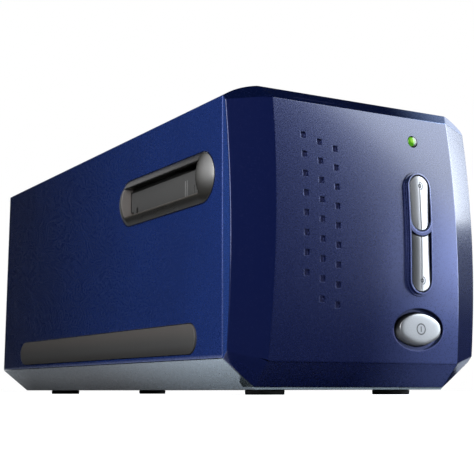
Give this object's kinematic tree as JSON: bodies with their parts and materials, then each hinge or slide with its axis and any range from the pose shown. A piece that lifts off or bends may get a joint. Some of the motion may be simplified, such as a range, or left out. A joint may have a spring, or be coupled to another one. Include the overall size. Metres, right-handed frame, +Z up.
{
  "type": "film negative scanner",
  "caption": "Long desktop film scanner with a bulged front bezel, scan buttons, and a side slot with dust flaps that takes a film holder across a moving optics carriage.",
  "frame": {"origin": "Middle of the bounding box in plan, on the table under the feet.", "axes": "+X to the right of someone who faces the front, +Y to the rear, +Z up."},
  "size_m": [0.1278, 0.276, 0.119],
  "materials": {
    "shell_blue": "satin moulded plastic",
    "pan_silver": "satin silver-grey plastic",
    "bezel_blue": "satin metallic-look plastic",
    "button_silver": "satin silver plastic",
    "panel_black": "fine textured plastic",
    "surround_grey": "satin plastic",
    "flap_grey": "matt plastic",
    "grip_rubber": "matt rubber",
    "foot_rubber": "matt rubber",
    "light_green": "clear light pipe",
    "board_green": "solder resist",
    "switch_black": "moulded plastic",
    "led_clear": "clear resin",
    "frame_black": "matt plastic",
    "sheet_steel": "plated sheet",
    "rod_steel": "ground steel",
    "lamp_white": "white glass tube",
    "diffuser_white": "opal sheet",
    "mirror_glass": "front-coated mirror",
    "lens_black": "black anodised",
    "lens_glass": "coated glass",
    "motor_steel": "plated can",
    "gear_brass": "machined brass",
    "gear_white": "acetal",
    "belt_black": "ribbed rubber",
    "socket_metal": "plated shell",
    "screw_steel": "plated steel"
  },
  "bodies": {
    "casing": {"upper_shell": "shell_blue", "base_pan": "pan_silver", "rear_panel": "panel_black", "front_bezel": "bezel_blue", "slot_surround_left": "surround_grey", "slot_surround_right": "surround_grey", "flap_pin_left": "rod_steel", "flap_pin_right": "rod_steel", "side_grip_left": "grip_rubber", "side_grip_right": "grip_rubber", "feet": "foot_rubber", "status_light": "light_green", "control_board": "board_green", "key_switches": "switch_black", "status_led": "led_clear", "film_tunnel": "frame_black", "chassis_plate": "sheet_steel", "rod_bracket_front": "sheet_steel", "rod_bracket_rear": "sheet_steel", "guide_rods": "rod_steel", "motor_bracket": "sheet_steel", "drive_motor": "motor_steel", "gear_axle": "rod_steel", "idler_bracket": "sheet_steel", "idler_axle": "rod_steel", "drive_belt": "belt_black", "main_board": "board_green", "usb_socket": "socket_metal", "power_inlet": "switch_black", "case_screws": "screw_steel", "chassis_screws": "screw_steel"},
    "carriage": {"carriage_tray": "frame_black", "lamp_arm": "sheet_steel", "lamp_housing": "frame_black", "lamp_tube": "lamp_white", "lamp_diffuser": "diffuser_white", "fold_mirror": "mirror_glass", "lens_barrel": "lens_black", "lens_glass": "lens_glass", "sensor_board": "board_green"},
    "dust_flap_left": {"dust_flap_left": "flap_grey"},
    "dust_flap_right": {"dust_flap_right": "flap_grey"},
    "scan_button_upper": {"scan_button_upper": "button_silver"},
    "scan_button_lower": {"scan_button_lower": "button_silver"},
    "power_button": {"power_button": "bezel_blue"},
    "motor_pinion": {"motor_pinion": "gear_brass"},
    "belt_gear": {"belt_gear": "gear_white"},
    "idler_pulley": {"idler_pulley": "gear_white"}
  },
  "joints": [
    {"name": "flap_left_swing", "type": "hinge", "parent": "casing", "child": "dust_flap_left", "pos_m": [-0.0572, -0.0701, 0.0919], "axis": [0, -1, 0], "range_deg": [0, 80], "stiffness_Nm_per_rad": 0.00005, "springref_deg": -57.3},
    {"name": "flap_right_swing", "type": "hinge", "parent": "casing", "child": "dust_flap_right", "pos_m": [0.0572, -0.0701, 0.0919], "axis": [0, 1, 0], "range_deg": [0, 80], "stiffness_Nm_per_rad": 0.00005, "springref_deg": -57.3},
    {"name": "upper_button_press", "type": "slide", "parent": "casing", "child": "scan_button_upper", "axis": [0, 1, 0], "range_m": [0, 0.0009], "stiffness_N_per_m": 250, "springref_m": -0.002},
    {"name": "lower_button_press", "type": "slide", "parent": "casing", "child": "scan_button_lower", "axis": [0, 1, 0], "range_m": [0, 0.0009], "stiffness_N_per_m": 250, "springref_m": -0.002},
    {"name": "power_button_press", "type": "slide", "parent": "casing", "child": "power_button", "axis": [0, 1, 0], "range_m": [0, 0.0009], "stiffness_N_per_m": 250, "springref_m": -0.002},
    {"name": "carriage_travel", "type": "slide", "parent": "casing", "child": "carriage", "axis": [0, -1, 0], "range_m": [0, 0.032]},
    {"name": "belt_gear_spin", "type": "hinge", "parent": "casing", "child": "belt_gear", "pos_m": [0.045, 0.0896, 0.038], "axis": [-1, 0, 0], "range_deg": [0, 306]},
    {"name": "idler_spin", "type": "hinge", "parent": "casing", "child": "idler_pulley", "pos_m": [0.038, -0.0913, 0.038], "axis": [-1, 0, 0], "range_deg": [0, 306]},
    {"name": "pinion_spin", "type": "hinge", "parent": "casing", "child": "motor_pinion", "pos_m": [0.045, 0.10233, 0.02527], "axis": [-1, 0, 0], "range_deg": [-918, 0]}
  ],
  "couplings": [
    {"joint": "belt_gear_spin", "follows": "carriage_travel", "rad_per_m": 166.67},
    {"joint": "idler_spin", "follows": "carriage_travel", "rad_per_m": 166.67},
    {"joint": "pinion_spin", "follows": "carriage_travel", "rad_per_m": -500}
  ]
}
